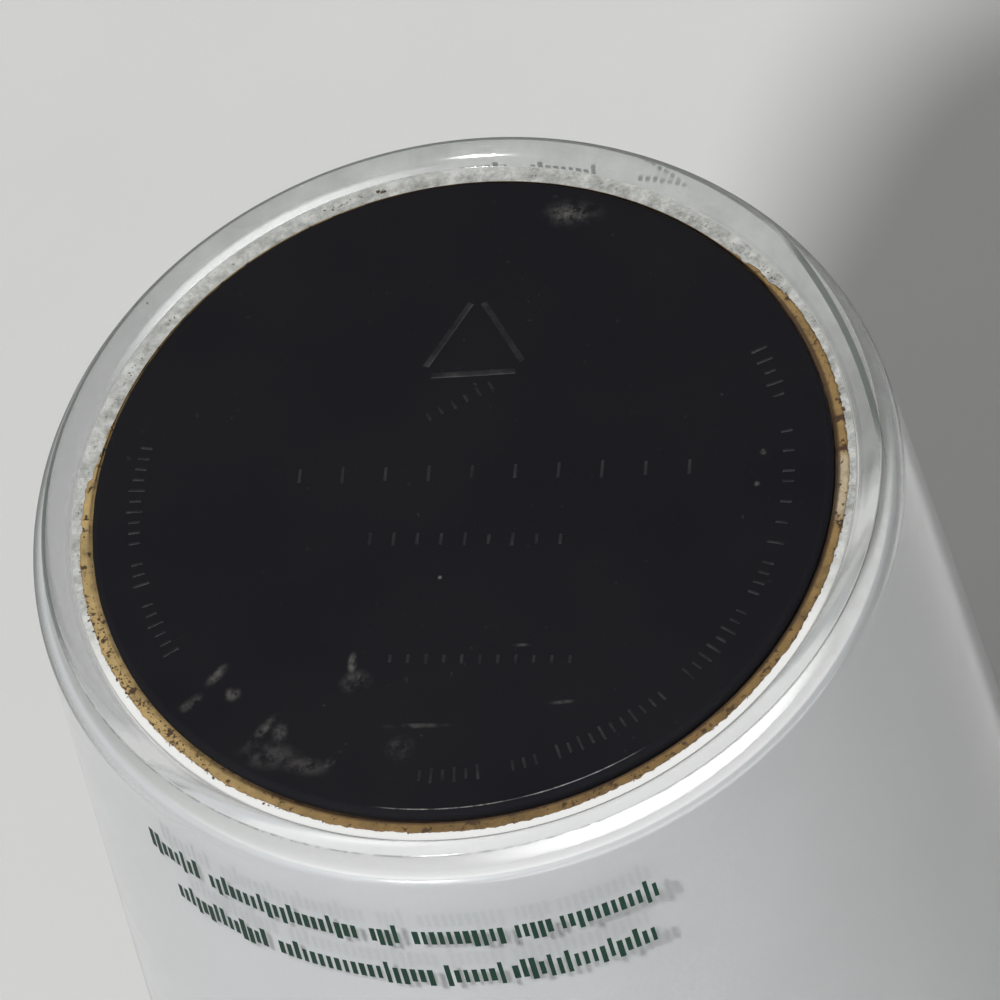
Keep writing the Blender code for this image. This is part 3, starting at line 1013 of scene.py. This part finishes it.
def make_world():
    """Soft light from all round, stronger from the left, and the room that gloss and glass show."""
    world = bpy.data.worlds.new("soft grey room")
    world.use_nodes = True
    bpy.context.scene.world = world
    nodes, links = world.node_tree.nodes, world.node_tree.links
    nodes.clear()
    place = add(nodes, "TexCoord")
    split = add(nodes, "SeparateXYZ")
    links.new(place.outputs["Generated"], split.inputs["Vector"])
    rise = map_range(nodes, links, split.outputs["Z"], -1.0, 1.0)
    ambient = ramp(nodes, links, rise, [(0.0, 0.20), (0.5, 0.23), (0.75, 0.36), (1.0, 0.51)])
    from_right = map_range(nodes, links, split.outputs["X"], -0.9, 0.9, 1.32, 0.22)
    ambient = times(nodes, links, ambient, from_right)

    room = ramp(nodes, links, rise, [(0.0, 0.60), (0.56, 0.60), (0.70, 0.45), (0.8, 0.36), (1.0, 0.36)])
    beyond = map_range(nodes, links, split.outputs["Y"], 0.35, 0.8, 1.0, 0.85)
    low = map_range(nodes, links, split.outputs["Z"], 0.25, 0.6)
    beyond = larger(nodes, links, beyond, low)
    room = times(nodes, links, room, beyond)
    right = map_range(nodes, links, split.outputs["X"], 0.2, 0.9, 1.0, 0.65)
    room = times(nodes, links, room, right)
    sizes = (WINDOW_AZIMUTH, WINDOW_ELEVATION, WINDOW_HALF_WIDTH, WINDOW_HALF_HEIGHT)
    window = glow(nodes, links, place.outputs["Generated"], *sizes)
    room = math_node(nodes, links, "ADD", room, times(nodes, links, window, WINDOW_LIGHT))

    rays = add(nodes, "LightPath")
    mirrored = larger(nodes, links, rays.outputs["Is Glossy Ray"], rays.outputs["Is Transmission Ray"])
    shown = add(nodes, "Mix", data_type="FLOAT")
    links.new(mirrored, shown.inputs["Factor"])
    links.new(ambient, shown.inputs["A"])
    links.new(room, shown.inputs["B"])
    sky = add(nodes, "Background", Strength=1.0)
    links.new(shown.outputs["Result"], sky.inputs["Color"])
    out = add(nodes, "OutputWorld")
    links.new(sky.outputs["Background"], out.inputs["Surface"])


def make_camera():
    """The photograph's viewing angle. Yaw and pitch turn the camera off the foot's centre."""
    lens = bpy.data.cameras.new("camera")
    lens.sensor_width = SENSOR
    lens.lens = CAMERA_LENS
    lens.clip_start = CLIP_START
    holder = bpy.data.objects.new("camera", lens)
    bpy.context.scene.collection.objects.link(holder)
    rise = math.radians(CAMERA_ELEVATION)
    aim = Vector((0, 0, FOOT_HEIGHT - AIM_BELOW_FOOT))
    place = (aim + Vector((0, -math.cos(rise), math.sin(rise))) * CAMERA_DISTANCE) * MM
    tilt = Matrix.Rotation(math.radians(90) - rise, 4, "X")
    yaw = Matrix.Rotation(math.radians(-CAMERA_YAW), 4, "Y")
    pitch = Matrix.Rotation(math.radians(CAMERA_PITCH), 4, "X")
    roll = Matrix.Rotation(math.radians(CAMERA_ROLL), 4, "Z")
    holder.matrix_world = Matrix.Translation(place) @ tilt @ yaw @ pitch @ roll
    bpy.context.scene.camera = holder


scene = bpy.context.scene
scene.view_settings.view_transform = "Standard"
scene.cycles.max_bounces = 24
scene.cycles.glossy_bounces = 16
scene.cycles.transmission_bounces = 16
scene.cycles.sample_clamp_indirect = 4.0

make_camera()
make_world()
make_key_light()
make_floor()

clear = clear_material()
white_liner = liner_material()
white_plastic = moulded_material("white plastic", CUP_WHITE, 0.35)
black = plug_material()
coffee = coffee_material()
crumbs = speck_material()
ink = moulded_material("green ink", INK_GREEN, 0.5, 0.2, 0.15)

# The turned pieces, each with its corner radius in millimetres
shell_mesh = respun("clear_shell", "outer_shell", 0.15)
liner_mesh = respun("liner", "white_liner", 0.1)
cup_mesh = respun("drink_cup", "inner_cup", 0.2)

add_piece("clear_shell", shell_mesh, clear, "clear_plastic", "outer_shell")
add_piece("liner", liner_mesh, white_liner, "white_liner", "white_liner")
add_piece("drink_cup", cup_mesh, white_plastic, "white_plastic", "inner_cup")
add_piece("plug", welded_copy("plug", "base_plug"), black, "black_plastic", "base_plug")
add_piece("plug_marks", marks_mesh(), dusty_mark_material(), "black_plastic")
add_piece("coffee_crust", crust_mesh(), coffee, "dried_coffee")
add_piece("dried_film", film_mesh(), film_material(), "dried_coffee")
add_piece("coffee_specks", specks_mesh(), crumbs, "dried_coffee")
add_piece("print_bars", print_mesh(), ink, "green_ink")
